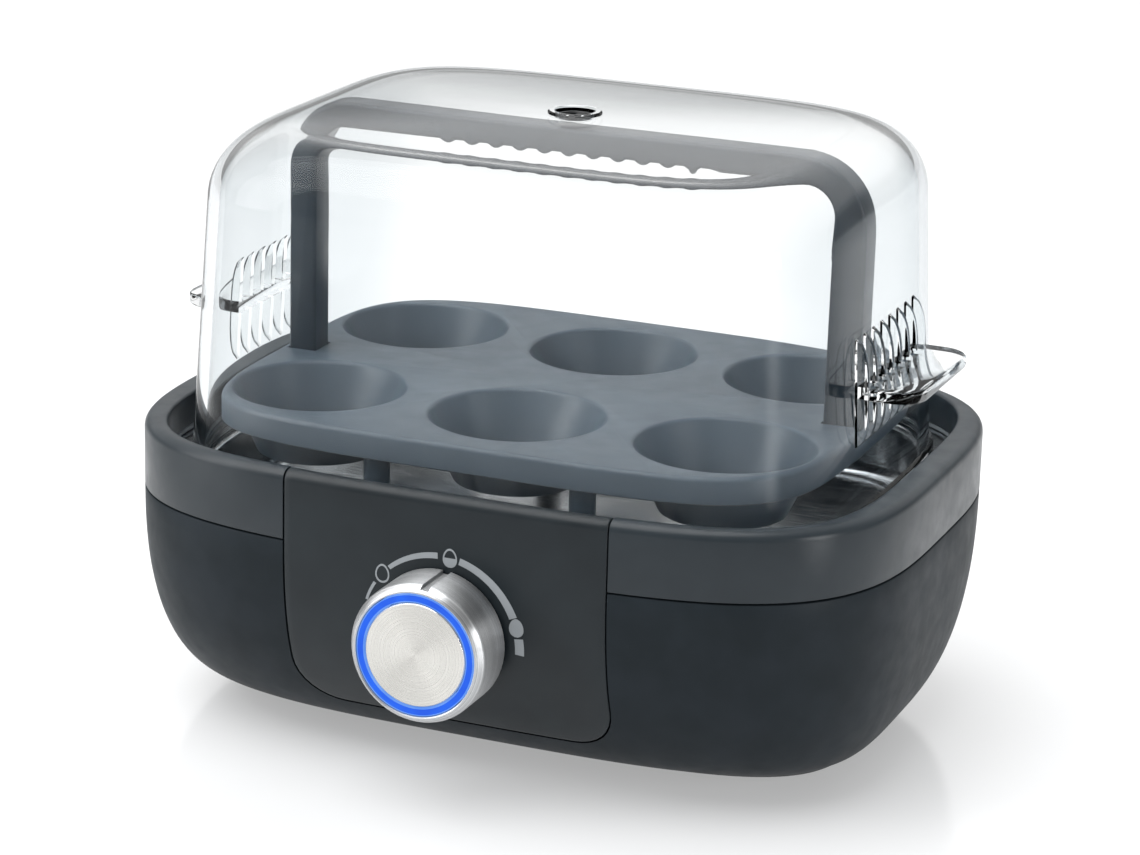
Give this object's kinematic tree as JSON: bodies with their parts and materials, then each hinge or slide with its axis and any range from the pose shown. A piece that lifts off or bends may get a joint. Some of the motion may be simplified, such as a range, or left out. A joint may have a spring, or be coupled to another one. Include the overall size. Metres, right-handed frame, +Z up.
{
  "type": "egg cooker",
  "caption": "Electric egg cooker: rounded oblong base with a steel water bowl, a front timer dial with start button, a lift-out egg tray with carry handle, and a clear domed lid.",
  "frame": {"origin": "middle of the overall box, dial and cord gland included, on the surface that the feet stand on", "axes": "+Z up, +X along the long side, the dial faces -Y"},
  "size_m": [0.186, 0.1566, 0.1427],
  "materials": {
    "housing": "fine-grained moulded anthracite",
    "rim": "satin moulded anthracite, a little glossier than the shell",
    "panel": "fine-grained moulded anthracite with pale grey printed symbols",
    "underside": "moulded black",
    "foot_rubber": "matt black rubber",
    "screw_steel": "zinc-plated steel",
    "bowl_steel": "polished stainless steel",
    "gasket": "grey silicone",
    "spreader": "cast",
    "element": "dull sheath",
    "casing": "moulded component casing",
    "brass": "turned",
    "board": "solder-mask green",
    "gland_rubber": "black rubber",
    "dial_metal": "brushed round the side, polished chamfer",
    "dial_plastic": "moulded black",
    "dial_light": "light guide, lit blue",
    "button_metal": "radially spun",
    "tray": "moulded slate grey",
    "handle": "moulded slate grey",
    "clear_lid": "clear polished",
    "vent": "moulded dark"
  },
  "bodies": {
    "base": {"housing_shell": "housing", "rim_band": "rim", "front_panel": "panel", "base_plate": "underside", "foot_pad_1": "foot_rubber", "foot_pad_2": "foot_rubber", "foot_pad_3": "foot_rubber", "foot_pad_4": "foot_rubber", "base_screw_1": "screw_steel", "base_screw_2": "screw_steel", "base_screw_3": "screw_steel", "base_screw_4": "screw_steel", "heating_bowl": "bowl_steel", "bowl_gasket": "gasket", "heat_spreader": "spreader", "heating_element": "element", "thermostat": "casing", "thermal_fuse": "brass", "control_board": "board", "board_screw_1": "screw_steel", "board_screw_2": "screw_steel", "board_screw_3": "screw_steel", "board_screw_4": "screw_steel", "relay": "casing", "supply_capacitor": "casing", "buzzer": "casing", "terminal_block": "board", "cord_gland": "gland_rubber", "dial_bush": "brass", "encoder_body": "casing", "start_switch": "casing", "dial_board": "board"},
    "dial": {"dial_sleeve": "dial_metal", "dial_core": "dial_plastic", "light_ring": "dial_light", "dial_shaft": "screw_steel", "button_spring": "screw_steel"},
    "button": {"start_button": "button_metal", "button_stem": "dial_plastic"},
    "tray": {"egg_tray": "tray", "carry_handle": "handle"},
    "lid": {"lid": "clear_lid", "vent_insert": "vent"}
  },
  "joints": [
    {"name": "dial_turn", "type": "hinge", "parent": "base", "child": "dial", "pos_m": [0, -0.0657, 0.038], "axis": [0, 1, 0], "range_deg": [-79, 88]},
    {"name": "start_press", "type": "slide", "parent": "dial", "child": "button", "axis": [0, 1, 0], "range_m": [0, 0.0015], "stiffness_N_per_m": 600, "springref_m": -0.003, "deforming": ["button_spring"]},
    {"name": "tray_lift", "type": "slide", "parent": "base", "child": "tray", "axis": [0, 0, 1], "range_m": [0, 0.05]},
    {"name": "lid_lift", "type": "slide", "parent": "tray", "child": "lid", "axis": [0, 0, 1], "range_m": [0, 0.1]}
  ]
}
